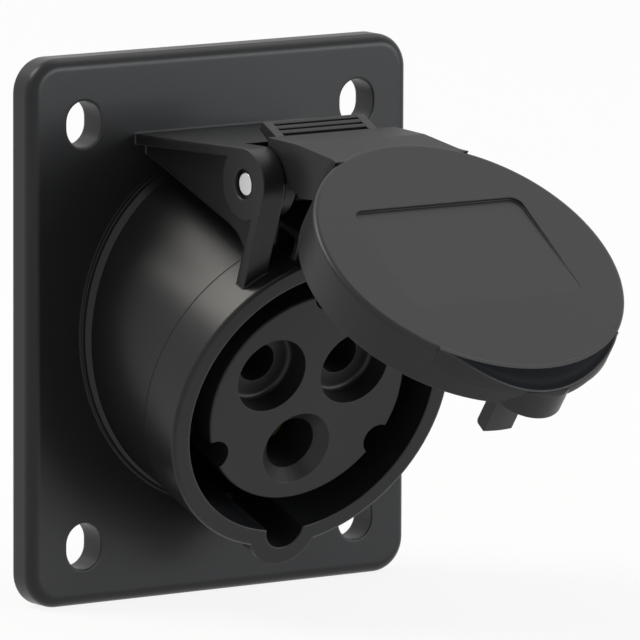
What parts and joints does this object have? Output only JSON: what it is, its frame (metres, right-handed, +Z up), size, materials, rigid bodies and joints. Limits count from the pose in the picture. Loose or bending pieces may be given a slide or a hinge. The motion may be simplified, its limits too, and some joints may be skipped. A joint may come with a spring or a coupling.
{
  "type": "industrial panel socket",
  "caption": "Flanged panel socket with a slanted barrel, recessed round contacts, a keyway and a hinged spring lid that seals the mouth.",
  "frame": {"origin": "middle of the four screw slots, on the flange's back face", "axes": "XZ is the panel, +Z up, +X to the viewer's right when facing the socket, the socket faces -Y"},
  "size_m": [0.072, 0.1275, 0.087],
  "materials": {
    "black_plastic": "satin moulded thermoplastic",
    "rubber": "matte elastomer",
    "brass": "turned",
    "steel": "zinc plated"
  },
  "bodies": {
    "socket": {"housing": "black_plastic", "flange_gasket": "rubber", "contact_insert": "black_plastic", "insert_seal": "rubber", "terminal_carrier": "black_plastic", "line_contact": "brass", "neutral_contact": "brass", "earth_contact": "brass", "line_clip_ring": "steel", "neutral_clip_ring": "steel", "earth_clip_ring": "steel", "line_terminal_screw": "steel", "neutral_terminal_screw": "steel", "earth_terminal_screw": "steel", "insert_screws": "steel", "carrier_screws": "steel", "hinge_pin": "steel", "lid_spring": "steel"},
    "lid": {"lid": "black_plastic", "lid_gasket": "rubber"}
  },
  "joints": [
    {"name": "lid_hinge", "type": "hinge", "parent": "socket", "child": "lid", "pos_m": [0, -0.03493, 0.02667], "axis": [-1, 0, 0], "range_deg": [-74, 12], "deforming": ["lid_spring"]}
  ]
}
